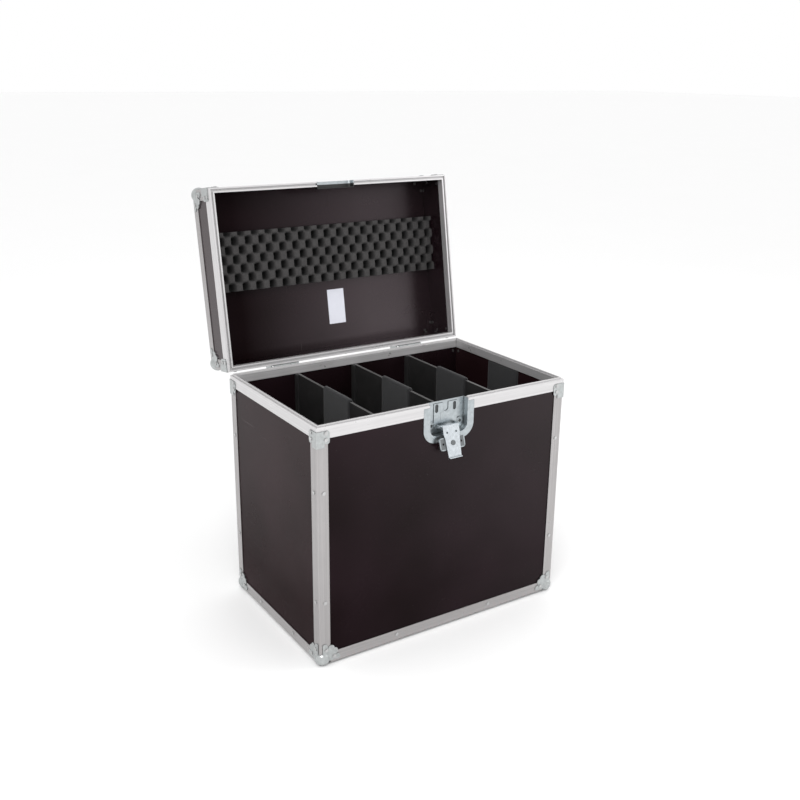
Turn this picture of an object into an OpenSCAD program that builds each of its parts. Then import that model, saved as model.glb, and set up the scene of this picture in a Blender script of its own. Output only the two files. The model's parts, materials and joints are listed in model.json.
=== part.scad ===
// Record transport case: laminated ply panels in aluminium edging, steel ball corners,
// a stay-hinged lid, a recessed butterfly latch and three lift-out dividers.
// X runs along the front, Y from front to back, Z up. The lid stands open on its hinge stops.

/* [Case] */
// Outside width over the edging
case_w = 550; // [420:1:700]
// Outside depth over the edging
case_d = 356; // [320:1:460]
// Height of the base from its edging's underside to the lid joint
base_h = 462; // [300:1:560]
// Height of the lid above the lid joint
lid_h = 90; // [84:1:140]
// Thickness of the laminated panels
panel_t = 7; // [5.5:0.1:9.5]
// Angle by which the lid stands open
lid_open = 99.3; // [92:0.1:108]

/* [Edging] */
// Flange width of the edge angles and of the rim's outer leg
edge_w = 22; // [20:0.5:26]
// Wall of the edge angles and rims
edge_t = 1.5; // [1.2:0.1:1.8]
// Outer corner radius of the edge angles
edge_r = 2.4; // [1.9:0.1:3]
// Height of the rim's inner leg
rim_inner_h = 16; // [12:0.5:20]
// Gap between the closed rims
rim_gap = 0.3; // [0.2:0.1:0.6]
// Height of the locating tongue on the base rim
tongue_h = 3; // [2:0.1:3.4]
// Width of the tongue at its root
tongue_w = 3; // [2.4:0.1:3.4]
// Side clearance of the tongue in the lid's groove
tongue_gap = 0.4; // [0.3:0.1:0.6]

/* [Corner fittings] */
// Radius of the ball on each corner
ball_r = 15; // [13:0.5:17]
// How far the balls stand proud of the edging
ball_proud = 5; // [4:0.1:6.5]
// Depth of the flat that each ball stands on
foot_flat = 0.3; // [0.2:0.1:0.6]
// Thickness of the panels left inside the ball corners
corner_skin = 2.5; // [1.5:0.1:4]
// Sheet thickness of the corner plates and braces
plate_t = 1.2; // [1:0.1:1.6]
// Reach of the ball corner's plates from the corner
plate_reach = 42; // [36:1:44]
// Length of the rim braces down the arris
brace_h = 38; // [34:1:44]
// Width of the rim braces on each face
brace_w = 25; // [23:0.5:30]

/* [Rivets] */
// Radius of the rivet heads
rivet_r = 3.8; // [3:0.1:4.2]
// Height of the rivet heads
rivet_h = 1.3; // [0.9:0.1:1.6]
// Radius of the rivet shanks
shank_r = 2; // [1.6:0.1:2.4]
// Radius of the rivet tails inside the case
tail_r = 3; // [2.6:0.1:3.3]
// Height of the rivet tails
tail_h = 1.2; // [0.8:0.1:1.6]
// Distance of the edging rivets from the arris
rivet_in = 12.5; // [12:0.1:14]
// Distance of the upper upright rivets below the lid joint
rivet_high = 122; // [80:1:140]
// Distance of the lower upright rivets below the lid joint
rivet_low = 336; // [200:1:360]
// Half spacing of the rivets along the front and back floor edges
rivet_front = 109; // [60:1:140]
// Half spacing of the rivets along the side floor edges
rivet_side = 70; // [40:1:90]

/* [Hinges] */
// Distance of the hinge axis behind the back face
hinge_out = 4; // [3.9:0.1:4.6]
// Distance of each hinge from the middle
hinge_x = 150; // [100:1:160]
// Width of a hinge
hinge_w = 60; // [50:1:76]
// Height of a hinge leaf
leaf_h = 52; // [46:1:56]
// Thickness of a hinge leaf and its ears
leaf_t = 1.8; // [1.5:0.1:1.9]
// Outer radius of the knuckles
knuckle_r = 3.5; // [3.2:0.1:3.6]
// Radius of the hinge pins
hinge_pin_r = 1.75; // [1.4:0.05:2]
// Radial running clearance on the hinge pins
run_gap = 0.05; // [0.02:0.01:0.1]
// Gap at which a stop or a support lies from what it meets
seat_gap = 0.3; // [0.2:0.05:0.5]
// Reach of the lid leaf's stop ears
ear_reach = 24; // [20:1:30]

/* [Latch] */
// Width of the latch dish over its flange
dish_w = 112; // [108:1:120]
// Height of the dish's base part
dish_h = 75; // [72:1:80]
// Height of the dish's lid part
keeper_h = 27; // [26:0.5:32]
// Width of the dish's recess
recess_w = 83; // [80:1:88]
// Flange below and above the recess
dish_lip = 13; // [11:0.5:14]
// Height of the rim that runs over the dish's flange
rim_bead = 5; // [4:0.5:7]
// Depth of the recess behind the flange's face
recess_d = 13.5; // [12.5:0.1:14]
// Sheet thickness of the dish
dish_t = 1.2; // [1:0.1:1.3]
// Corner radius of the recess
recess_r = 14; // [10:0.5:16]
// Distance of the hook's pivot below the lid joint
pivot_drop = 47; // [45:0.5:50]
// Distance of the hook's pivot behind the flange's face
pivot_in = 3; // [2.8:0.1:3.4]
// Radius of the pivot pin
pivot_r = 1.5; // [1.2:0.05:1.7]
// Outer radius of the pivot knuckles
pivot_knuckle_r = 2.7; // [2.5:0.05:2.8]
// Length of the hook plate from its pivot
hook_len = 60; // [58:0.5:61]
// Width of the hook plate at its pivot
hook_w = 36; // [32:1:40]
// Width of the hook plate at its tip
hook_tip_w = 28; // [24:1:32]
// Thickness of the hook plate
hook_t = 1.5; // [1.2:0.1:1.6]
// Offset of the hook plate from its pivot
hook_offset = 7; // [6.6:0.1:7.4]
// Length of the hook's lip
lip_len = 5; // [4:0.5:6]
// Angle through which the hook swings from hanging to closed
hook_swing = 162.5; // [158:0.5:164]
// Distance of the butterfly key from the pivot
key_at = 32; // [28:0.5:38]
// Room between the turned wings and both the dish's upper edge and the pivot
wing_room = 1; // [0.6:0.1:3]
// Height of the butterfly wings
wing_h = 24; // [20:0.5:25]
// Sheet thickness of the wings
wing_t = 1.4; // [1.2:0.1:1.6]
// Radius of the key's boss
boss_r = 7; // [6:0.1:8]
// Radius of the key's spindle
spindle_r = 2.5; // [2:0.1:3]

/* [Interior] */
// Thickness of the dividers
divider_t = 5; // [4:0.5:6]
// Depth of the divider tops below the lid joint
divider_drop = 15; // [10:0.5:24]
// Clearance of a divider in its rails on each side
slide_gap = 0.4; // [0.3:0.05:0.6]
// Wall of the divider rails
rail_t = 2.4; // [1.8:0.1:3]
// Depth of the divider rails
rail_d = 14; // [12:0.5:16]
// Width of the pads over the dividers, front to back
pad_w = 100; // [70:1:130]
// Thickness of the pads
pad_t = 3; // [2:0.5:4]
// Drop of the pads down each side
pad_drop = 88; // [60:1:120]
// Drop of the pads down the side walls
wall_pad_drop = 120; // [80:1:160]

/* [Lid lining] */
// Width of the foam strip, front to back
foam_w = 111; // [90:1:130]
// Distance of the foam strip's front edge from the case front
foam_from = 90; // [60:1:110]
// Thickness of the foam strip
foam_t = 28; // [20:1:34]
// Pitch of the foam's peaks
foam_pitch = 32; // [26:1:40]
// Width of the blank label
label_w = 40; // [30:1:60]
// Height of the blank label
label_h = 74; // [50:1:80]
// Thickness of the blank label
label_t = 0.6; // [0.4:0.1:1]

/* [Handle] */
// Distance between the handle's pivots
handle_w = 150; // [130:1:180]
// Length of the bail from its pivots
bail_len = 50; // [46:1:60]
// Radius of the bail rod
bail_r = 3; // [2.5:0.1:3.5]
// Radius of the handle's grip
grip_r = 9; // [8:0.5:10]
// Height of the bail's axis above the lid
bail_up = 10; // [9.6:0.1:12]

/* [Hidden] */
$fn = 64;

half_w = case_w / 2;
half_d = case_d / 2;
bottom_z = ball_proud - foot_flat;
split_z = bottom_z + base_h;
lid_z = split_z + lid_h;
inset = edge_t + panel_t;
in_w = half_w - inset;
in_d = half_d - inset;
hinge_y = half_d + hinge_out;
cut = 1;

// Corner fittings
ball_in = ball_r - ball_proud;
corner_cube = edge_w;
ball_depth = inset - corner_skin;

// Rim section
rim_w = panel_t + 2 * edge_t;
tongue_mid = rim_w / 2;
tongue_top_w = tongue_w - 1;
groove_w = tongue_w + 2 * tongue_gap;
groove_d = tongue_h - rim_gap + tongue_gap;
lid_web = groove_d + edge_t;

// Latch
flange_y = -half_d;
panel_y = -half_d + edge_t;
recess_y = flange_y + recess_d;
pivot_y = flange_y + pivot_in;
pivot_z = split_z - pivot_drop;
recess_bottom = dish_h - dish_lip;
recess_top = keeper_h - dish_lip;
dish_cut = recess_w / 2 + dish_t + seat_gap;
ear_t = 3;
ear_x = hook_w / 2 + seat_gap + ear_t / 2;
key_h = hook_offset - 1;
wing_reach = min(recess_top + pivot_drop - key_at, key_at - pivot_knuckle_r) - wing_room;
key_tail_r = 4.5;
lip_slot_gap = 1.8;
lip_over = 0.8;

// Interior
divider_bottom = bottom_z + inset + seat_gap;
divider_top = split_z - divider_drop;
groove_side = divider_t + 2 * slide_gap;
rail_w = groove_side + 2 * rail_t;
divider_half_d = in_d - max(dish_depth_inside(), lip_depth_inside()) - seat_gap;
bay = in_w / 2;
rail_top = min(divider_top, split_z - rim_gap / 2 - rim_inner_h - seat_gap);

// Frame: the open case stands centred on its own outline
reach_front = pivot_in - hook_reach_out();
reach_back = lid_ball_reach();
shift_y = -(hinge_y + reach_back - half_d + reach_front) / 2;

function dish_depth_inside() = recess_d + dish_t - inset;
// Reach of the closed hook's lip past the panels
function lip_depth_inside() = pivot_in + hook_offset + lip_len - inset;
// Distance of the hanging hook's outermost edge in front of its pivot
function hook_reach_out() = (hook_offset + lip_len) * -cos(hook_swing) + hook_len * sin(hook_swing);
// Distance of the open lid's rearmost ball behind the hinge axis
function lid_ball_reach() = (hinge_y + half_d - ball_in) * -cos(lid_open)
  + (lid_h - ball_in) * sin(lid_open) + ball_r;
// A point of the open lid, relative to the hinge axis, turned back to the closed lid
function closed(p) = [p[0] * cos(lid_open) - p[1] * sin(lid_open),
  p[0] * sin(lid_open) + p[1] * cos(lid_open)];

// ---- placing ----
module placed() {
  translate([0, shift_y, 0]) children();
}

module on_lid() {
  placed() translate([0, hinge_y, split_z]) rotate([-lid_open, 0, 0])
    translate([0, -hinge_y, -split_z]) children();
}

// Children are drawn closed, standing up from the pivot, and hang open
module on_hook() {
  placed() translate([0, pivot_y, pivot_z]) rotate([hook_swing, 0, 0]) children();
}

module span(low, high) {
  translate(low) cube(high - low);
}

// Children run along +X from the origin as drawn in the YZ plane, from x = from to x = to
module along_x(from, to) {
  translate([from, 0, 0]) rotate([90, 0, 90]) linear_extrude(to - from) children();
}

// Children drawn as (x, z) are extruded along +Y from y = from to y = to
module along_y(from, to) {
  translate([0, to, 0]) rotate([90, 0, 0]) linear_extrude(to - from) children();
}

module four_corners() {
  for (sx = [0, 1], sy = [0, 1]) mirror([sx, 0, 0]) mirror([0, sy, 0]) children();
}

// ---- panels ----
// Room of a ball corner in the panels, which keep their skin inside it
module corner_room() {
  difference() {
    translate([-cut, -cut, -cut]) cube(corner_cube + cut);
    translate([ball_depth, ball_depth, ball_depth]) cube(corner_cube);
  }
}

module base_corners() {
  four_corners() translate([-half_w, -half_d, bottom_z]) corner_room();
}

module lid_corners() {
  four_corners() translate([-half_w, -half_d, lid_z]) mirror([0, 0, 1]) corner_room();
}

module dish_hole(low, high) {
  span([-dish_cut, -half_d - cut, low], [dish_cut, -in_d + cut, high]);
}

module wall_x(y0, y1, z0, z1) {
  span([-half_w + edge_t, y0, z0], [half_w - edge_t, y1, z1]);
}

module wall_y(x0, x1, z0, z1) {
  span([x0, -in_d, z0], [x1, in_d, z1]);
}

base_wall_top = split_z - rim_gap / 2 - edge_t;
lid_wall_low = split_z + rim_gap / 2 + lid_web;

module front_panel() {
  color("#2b2728") placed() difference() {
    wall_x(-half_d + edge_t, -in_d, bottom_z + edge_t, base_wall_top);
    base_corners();
    dish_hole(split_z - recess_bottom - dish_t - seat_gap, split_z);
  }
}

module back_panel() {
  color("#2b2728") placed() difference() {
    wall_x(in_d, half_d - edge_t, bottom_z + edge_t, base_wall_top);
    base_corners();
  }
}

module left_panel() {
  color("#3d3737") placed() difference() {
    wall_y(-half_w + edge_t, -in_w, bottom_z + edge_t, base_wall_top);
    base_corners();
  }
}

module right_panel() {
  color("#3d3737") placed() difference() {
    wall_y(in_w, half_w - edge_t, bottom_z + edge_t, base_wall_top);
    base_corners();
  }
}

module floor_panel() {
  color("#262324") placed() difference() {
    span([-in_w, -in_d, bottom_z + edge_t], [in_w, in_d, bottom_z + inset]);
    base_corners();
  }
}

module lid_top_panel() {
  color("#2b2728") on_lid() difference() {
    span([-in_w, -in_d, lid_z - inset], [in_w, in_d, lid_z - edge_t]);
    lid_corners();
  }
}

module lid_front_panel() {
  color("#2b2728") on_lid() difference() {
    wall_x(-half_d + edge_t, -in_d, lid_wall_low, lid_z - edge_t);
    lid_corners();
    dish_hole(split_z, split_z + recess_top + dish_t + seat_gap);
  }
}

module lid_back_panel() {
  color("#2b2728") on_lid() difference() {
    wall_x(in_d, half_d - edge_t, lid_wall_low, lid_z - edge_t);
    lid_corners();
  }
}

module lid_left_panel() {
  color("#6a6263") on_lid() difference() {
    wall_y(-half_w + edge_t, -in_w, lid_wall_low, lid_z - edge_t);
    lid_corners();
  }
}

module lid_right_panel() {
  color("#6a6263") on_lid() difference() {
    wall_y(in_w, half_w - edge_t, lid_wall_low, lid_z - edge_t);
    lid_corners();
  }
}

// ---- edging ----
// Angle section with its rounded arris at the origin
module angle_section() {
  difference() {
    union() {
      translate([edge_r, 0]) square([edge_w - edge_r, edge_w]);
      translate([0, edge_r]) square([edge_w, edge_w - edge_r]);
      translate([edge_r, edge_r]) circle(edge_r);
    }
    translate([edge_t, edge_t]) square(edge_w);
  }
}

// Upright at the front left corner, between two heights
module upright(z0, z1) {
  translate([-half_w, -half_d, z0]) linear_extrude(z1 - z0) angle_section();
}

// Edge along the front, its arris low
module edge_front(z) {
  translate([0, -half_d, z]) along_x(-half_w + corner_cube, half_w - corner_cube) angle_section();
}

// Edge along the left side, its arris low
module edge_left(z) {
  translate([-half_w, 0, z]) along_y(-half_d + corner_cube, half_d - corner_cube) angle_section();
}

upright_z = [bottom_z + corner_cube, split_z - rim_gap / 2 - edge_w];

module upright_front_left() {
  color("#b4afae") placed() upright(upright_z[0], upright_z[1]);
}

module upright_front_right() {
  color("#b4afae") placed() mirror([1, 0, 0]) upright(upright_z[0], upright_z[1]);
}

module upright_back_left() {
  color("#b4afae") placed() mirror([0, 1, 0]) upright(upright_z[0], upright_z[1]);
}

module upright_back_right() {
  color("#b4afae") placed() mirror([1, 0, 0]) mirror([0, 1, 0]) upright(upright_z[0], upright_z[1]);
}

module floor_edge_front() {
  color("#b4afae") placed() edge_front(bottom_z);
}

module floor_edge_back() {
  color("#b4afae") placed() mirror([0, 1, 0]) edge_front(bottom_z);
}

module floor_edge_left() {
  color("#b4afae") placed() edge_left(bottom_z);
}

module floor_edge_right() {
  color("#b4afae") placed() mirror([1, 0, 0]) edge_left(bottom_z);
}

module lid_uprights() {
  color("#b4afae") on_lid() four_corners()
    upright(split_z + rim_gap / 2 + edge_w, lid_z - corner_cube);
}

module lid_top_edges() {
  color("#b4afae") on_lid() translate([0, 0, lid_z]) mirror([0, 0, 1]) {
    edge_front(0);
    mirror([0, 1, 0]) edge_front(0);
    edge_left(0);
    mirror([1, 0, 0]) edge_left(0);
  }
}

// ---- rims ----
// Base rim section: (distance in from the face, height above the joint)
module base_rim_section() {
  translate([0, -edge_w]) square([edge_t, edge_w]);
  translate([0, -edge_t]) square([rim_w, edge_t]);
  translate([rim_w - edge_t, -rim_inner_h]) square([edge_t, rim_inner_h]);
  polygon([[tongue_mid - tongue_w / 2, -edge_t / 2], [tongue_mid + tongue_w / 2, -edge_t / 2],
    [tongue_mid + tongue_w / 2, 0], [tongue_mid + tongue_top_w / 2, tongue_h],
    [tongue_mid - tongue_top_w / 2, tongue_h], [tongue_mid - tongue_w / 2, 0]]);
}

// Lid rim section, with the groove that the tongue enters
module lid_rim_section() {
  difference() {
    union() {
      square([edge_t, edge_w]);
      square([rim_w, lid_web]);
      translate([rim_w - edge_t, 0]) square([edge_t, rim_inner_h]);
    }
    translate([tongue_mid - groove_w / 2, -cut]) square([groove_w, groove_d + cut]);
  }
}

// Area of a front rim between its mitres
module front_mitre() {
  polygon([[-half_w, -half_d], [half_w, -half_d], [half_w - rim_w, -half_d + rim_w],
    [-half_w + rim_w, -half_d + rim_w]]);
}

// Area of a left rim between its mitres
module left_mitre() {
  polygon([[-half_w, -half_d], [-half_w + rim_w, -half_d + rim_w],
    [-half_w + rim_w, half_d - rim_w], [-half_w, half_d]]);
}

module mitred_front(z) {
  intersection() {
    translate([0, -half_d, z]) along_x(-half_w, half_w) children();
    translate([0, 0, z - 2 * edge_w]) linear_extrude(4 * edge_w) front_mitre();
  }
}

module mitred_left(z) {
  intersection() {
    translate([-half_w, 0, z]) along_y(-half_d, half_d) children();
    translate([0, 0, z - 2 * edge_w]) linear_extrude(4 * edge_w) left_mitre();
  }
}

base_rim_z = split_z - rim_gap / 2;
lid_rim_z = split_z + rim_gap / 2;

// Room in a front rim for the dish: its recess right through, its flange below the bead
module dish_gap() {
  beyond = 2 * edge_w;
  flange_half = dish_w / 2 + seat_gap;
  span([-dish_cut, -half_d - cut, split_z - beyond], [dish_cut, -in_d + 2 * edge_t, split_z + beyond]);
  span([-flange_half, -half_d - cut, split_z - beyond], [flange_half, panel_y, split_z - rim_bead]);
  span([-flange_half, -half_d - cut, split_z + rim_bead], [flange_half, panel_y, split_z + beyond]);
}

module rim_front() {
  color("#d8d4d4") placed() difference() {
    mitred_front(base_rim_z) base_rim_section();
    dish_gap();
  }
}

module rim_back() {
  color("#d8d4d4") placed() mirror([0, 1, 0]) mitred_front(base_rim_z) base_rim_section();
}

module rim_left() {
  color("#d8d4d4") placed() mitred_left(base_rim_z) base_rim_section();
}

module rim_right() {
  color("#d8d4d4") placed() mirror([1, 0, 0]) mitred_left(base_rim_z) base_rim_section();
}

module lid_rim_front() {
  color("#d8d4d4") on_lid() difference() {
    mitred_front(lid_rim_z) lid_rim_section();
    dish_gap();
  }
}

module lid_rim_back() {
  color("#d8d4d4") on_lid() mirror([0, 1, 0]) mitred_front(lid_rim_z) lid_rim_section();
}

module lid_rim_left() {
  color("#d8d4d4") on_lid() mitred_left(lid_rim_z) lid_rim_section();
}

module lid_rim_right() {
  color("#d8d4d4") on_lid() mirror([1, 0, 0]) mitred_left(lid_rim_z) lid_rim_section();
}

// ---- ball corners ----
lobe_r = 7;
arris_gap = 5.5;
arris_start = 20;
plate_arm = 16;
plate_long = 30;
plate_short = 26;
lobe_low = 9;
lobe_high = 23;

// Outline of one plate, its corner at the origin, open over both arrises past the ball
module plate_outline() {
  difference() {
    union() {
      square([plate_reach - lobe_r, plate_arm]);
      square([plate_arm, plate_reach - lobe_r]);
      square([plate_long, plate_short]);
      square([plate_short, plate_long]);
      for (p = [[plate_reach - lobe_r, lobe_low], [plate_long, lobe_high], [lobe_high, plate_long],
          [lobe_low, plate_reach - lobe_r]])
        translate(p) circle(lobe_r);
    }
    translate([-cut, arris_start]) square([arris_gap + cut, plate_reach]);
    translate([arris_start, -cut]) square([plate_reach, arris_gap + cut]);
    translate([0, arris_start]) circle(arris_gap);
    translate([arris_start, 0]) circle(arris_gap);
  }
}

// One plate lies over the edging and is joggled down to the panel clear of the edging
module corner_plate() {
  beside = corner_cube + seat_gap;
  translate([0, 0, -plate_t]) linear_extrude(plate_t) plate_outline();
  linear_extrude(edge_t) intersection() {
    plate_outline();
    union() {
      square(corner_cube);
      translate([beside, beside]) square(plate_reach);
    }
  }
}

// Half space beyond the flat that takes a plate's bend off along the Z axis
module past_arris() {
  far = 3 * plate_reach;
  rotate([0, 0, 45]) translate([-far, -far, -far]) cube([far, 2 * far, 2 * far]);
}

// The three plates, their bends flattened and their common corner left to the ball
module corner_plates() {
  difference() {
    union() {
      corner_plate();
      rotate([90, 0, 90]) corner_plate();
      mirror([1, -1, 0]) rotate([90, 0, 90]) corner_plate();
    }
    past_arris();
    rotate([0, 90, 0]) mirror([1, 0, 0]) past_arris();
    rotate([-90, 0, 0]) mirror([0, 1, 0]) past_arris();
    translate([-ball_in, -ball_in, -ball_in]) cube(2 * ball_in);
  }
}

// Ball corner whose corner is the origin and whose faces are the three planes through it
module ball_corner() {
  difference() {
    union() {
      intersection() {
        translate([ball_in, ball_in, ball_in]) sphere(ball_r);
        translate([-ball_r, -ball_r, -ball_r]) cube(corner_cube + ball_r);
      }
      corner_plates();
    }
    translate([ball_depth, ball_depth, ball_depth]) cube(2 * ball_r);
    translate([-ball_r, -ball_r, -ball_proud - cut]) cube([3 * ball_r, 3 * ball_r, cut + foot_flat]);
  }
}

module floor_ball_corners() {
  color("#a3a8a8") placed() four_corners() translate([-half_w, -half_d, bottom_z]) ball_corner();
}

module lid_ball_corners() {
  color("#a3a8a8") on_lid() four_corners() translate([-half_w, -half_d, lid_z])
    mirror([0, 0, 1]) ball_corner();
}

// ---- rim braces ----
brace_top = 8;
brace_wide_h = 24;
brace_neck_w = 15;
brace_step_w = 6;
brace_step_h = 8;
brace_lobe_r = 5;

// Outline of one face of a brace: (distance from the arris, distance from the lid joint)
module brace_outline() {
  lobe = brace_lobe_r;
  translate([0, brace_top]) square([brace_w - lobe, brace_wide_h - lobe]);
  translate([0, brace_top + lobe]) square([brace_w, brace_wide_h - 2 * lobe]);
  translate([brace_w - lobe, brace_top + lobe]) circle(lobe);
  translate([brace_w - lobe, brace_top + brace_wide_h - lobe]) circle(lobe);
  translate([0, brace_top]) square([brace_neck_w, brace_h - brace_top]);
  translate([brace_neck_w, brace_top]) square([brace_step_w, brace_h - brace_top - brace_step_h]);
}

// Brace on the front left corner, drawn downwards from z = 0
module brace() {
  blank = 2 * brace_w;
  translate([0, 0, -brace_h - cut]) intersection() {
    difference() {
      translate([-plate_t, -plate_t, 0]) cube([blank, blank, brace_h + 2 * cut]);
      translate([0, 0, -cut]) cube([blank, blank, brace_h + 4 * cut]);
    }
    union() {
      translate([0, 0, brace_h + cut]) mirror([0, 0, 1]) {
        along_y(-plate_t, 0) brace_outline();
        mirror([1, -1, 0]) along_y(-plate_t, 0) brace_outline();
        translate([-plate_t, -plate_t, brace_top])
          cube([plate_t, plate_t, brace_h - brace_top]);
      }
    }
  }
}

module base_braces() {
  color("#aeb0b0") placed() four_corners() translate([-half_w, -half_d, split_z]) brace();
}

module lid_braces() {
  color("#aeb0b0") on_lid() four_corners() translate([-half_w, -half_d, split_z])
    mirror([0, 0, 1]) brace();
}

// ---- rivets ----
// Share of a head's height at full radius, and share of its radius at full height
head_brim = 0.5;
head_crown = 0.75;

// Rivet along +Z with its head's underside at z = 0 and its grip below it
module rivet(grip) {
  rotate_extrude() {
    square([rivet_r, rivet_h * head_brim]);
    square([rivet_r * head_crown, rivet_h]);
    translate([0, -grip - tail_h]) square([shank_r, grip + tail_h]);
    translate([0, -grip - tail_h]) square([tail_r, tail_h]);
  }
}

// Head of a rivet alone, on a face at z = 0
module rivet_head() {
  cylinder(r = rivet_r, h = rivet_h * head_brim);
  cylinder(r = rivet_r * head_crown, h = rivet_h);
}

// Rivet through the front wall at (x, z), its head on a face that stands proud by over
module rivet_front_at(x, z, over) {
  translate([x, -half_d - over, z]) rotate([90, 0, 0]) rivet(inset + over);
}

// Rivet through the left wall at (y, z)
module rivet_left_at(y, z, over) {
  translate([-half_w - over, y, z]) rotate([0, -90, 0]) rivet(inset + over);
}

plate_rivets = [[13, 29], [29, 13]];
brace_rivets = [[17.5, 12], [17.5, 24]];

// Rivets of one corner at the front left: the ball corner at z, the rest of it towards dir
module corner_rivets(z, dir) {
  for (p = plate_rivets) {
    rivet_front_at(-half_w + p[0], z + dir * p[1], plate_t);
    rivet_left_at(-half_d + p[0], z + dir * p[1], plate_t);
    translate([-half_w + p[0], -half_d + p[1], z - dir * plate_t])
      mirror([0, 0, dir > 0 ? 1 : 0]) rivet(inset + plate_t);
  }
}

module brace_rivets_at(dir) {
  for (p = brace_rivets) {
    rivet_front_at(-half_w + p[0], split_z + dir * p[1], plate_t);
    rivet_left_at(-half_d + p[0], split_z + dir * p[1], plate_t);
  }
}

module base_rivets() {
  color("#bcbcbc") placed() difference() {
    union() {
      four_corners() {
        corner_rivets(bottom_z, 1);
        brace_rivets_at(-1);
        for (drop = [rivet_high, rivet_low]) {
          rivet_front_at(-half_w + rivet_in, split_z - drop, 0);
          rivet_left_at(-half_d + rivet_in, split_z - drop, 0);
        }
      }
      for (sx = [-1, 1], sy = [0, 1]) mirror([0, sy, 0])
        rivet_front_at(sx * rivet_front, bottom_z + rivet_in, 0);
      for (sy = [-1, 1], sx = [0, 1]) mirror([sx, 0, 0])
        rivet_left_at(sy * rivet_side, bottom_z + rivet_in, 0);
    }
    translate([0, 0, -ball_r]) cube([2 * case_w, 2 * case_d, 2 * (ball_r + foot_flat)], center = true);
  }
}

module lid_rivets() {
  color("#bcbcbc") on_lid() four_corners() {
    corner_rivets(lid_z, -1);
    brace_rivets_at(1);
  }
}

// ---- latch dish and keeper ----
// Front outline of the recess, from the lid joint down by depth, grown by more
module recess_outline(depth, more) {
  w = recess_w / 2 + more;
  h = depth + more;
  r = recess_r + more;
  translate([-w, 0]) square([2 * w, h - r]);
  translate([-w + r, 0]) square([2 * (w - r), h]);
  for (s = [-1, 1]) translate([s * (w - r), h - r]) circle(r);
}

// Flange outline, from the lid joint
module flange_outline(height) {
  w = dish_w / 2;
  r = recess_r + dish_lip;
  translate([-w, 0]) square([2 * w, height - r]);
  translate([-w + r, 0]) square([2 * (w - r), height]);
  intersection() {
    for (s = [-1, 1]) translate([s * (w - r), height - r]) circle(r);
    translate([-w, 0]) square([2 * w, height]);
  }
}

// Parts of a flange beside the recess that the rims' beads run over
module under_beads() {
  for (s = [0, 1]) mirror([s, 0]) translate([recess_w / 2 + dish_t, -cut])
    square([dish_w, cut + rim_bead + seat_gap - rim_gap / 2]);
}

// Pressed dish: flange on the panel face and a pan through the panel, open at the lid joint
module dish_part(height, depth) {
  difference() {
    union() {
      along_y(flange_y, panel_y) difference() {
        flange_outline(height);
        under_beads();
      }
      along_y(flange_y, recess_y + dish_t) recess_outline(depth, dish_t);
    }
    translate([0, 0, -cut]) along_y(flange_y - cut, recess_y) recess_outline(depth + cut, 0);
  }
}

module latch_dish() {
  color("#a9b0b2") placed() translate([0, 0, split_z - rim_gap / 2]) mirror([0, 0, 1])
    dish_part(dish_h, recess_bottom);
}

lip_low = hook_len - hook_t - pivot_drop;

// Lid part of the dish: its back has the slot that the hook's lip enters
module latch_keeper() {
  slot_half = hook_tip_w / 2 + lip_slot_gap;
  slot_low = split_z + lip_low - lip_slot_gap;
  slot_high = split_z + lip_low + hook_t + lip_over;
  color("#a9b0b2") on_lid() difference() {
    translate([0, 0, split_z + rim_gap / 2]) dish_part_lid();
    span([-slot_half, recess_y - cut, slot_low], [slot_half, recess_y + dish_t + cut, slot_high]);
  }
}

keeper_flange_r = 10;
keeper_recess_r = 6;

// Keeper standing up from the lid joint, with its flange and its shallow pan
module dish_part_lid() {
  w = recess_w / 2;
  difference() {
    union() {
      along_y(flange_y, panel_y) difference() {
        keeper_outline(dish_w / 2, keeper_h, keeper_flange_r);
        under_beads();
      }
      along_y(flange_y, recess_y + dish_t)
        keeper_outline(w + dish_t, recess_top + dish_t, keeper_recess_r + dish_t);
    }
    translate([0, 0, -cut]) along_y(flange_y - cut, recess_y)
      keeper_outline(w, recess_top + cut, keeper_recess_r);
  }
}

module keeper_outline(w, h, r) {
  translate([-w, 0]) square([2 * w, h - r]);
  translate([-w + r, 0]) square([2 * (w - r), h]);
  for (s = [-1, 1]) translate([s * (w - r), h - r]) circle(r);
}

// ---- latch carriage ----
carriage_half = 26;
carriage_t = 1.4;
carriage_top = 4;
carriage_low = 5;
key_z = pivot_z + key_at;
// Notch that the closed key's inner rivet end stands in
notch_r = key_tail_r + 5 * seat_gap;
// The middle strip stays clear of the closed hook plate
strip_half = 11;
strip_proud = recess_d - pivot_in - hook_offset - hook_t - seat_gap;
strip_low = 44;
strip_top = pivot_drop - key_at + notch_r + carriage_t;
slot_x = 20;
slot_r = 3.4;
slot_z = [9, 18.5];
slot_floor = 0.4;
side_rivet_x = 32;
side_rivet_drop = 45;
side_rivet_r = 7;
side_rivet_h = 1.8;
side_rivet_top_r = 4.6;
side_rivet_top_h = 2.6;

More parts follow.
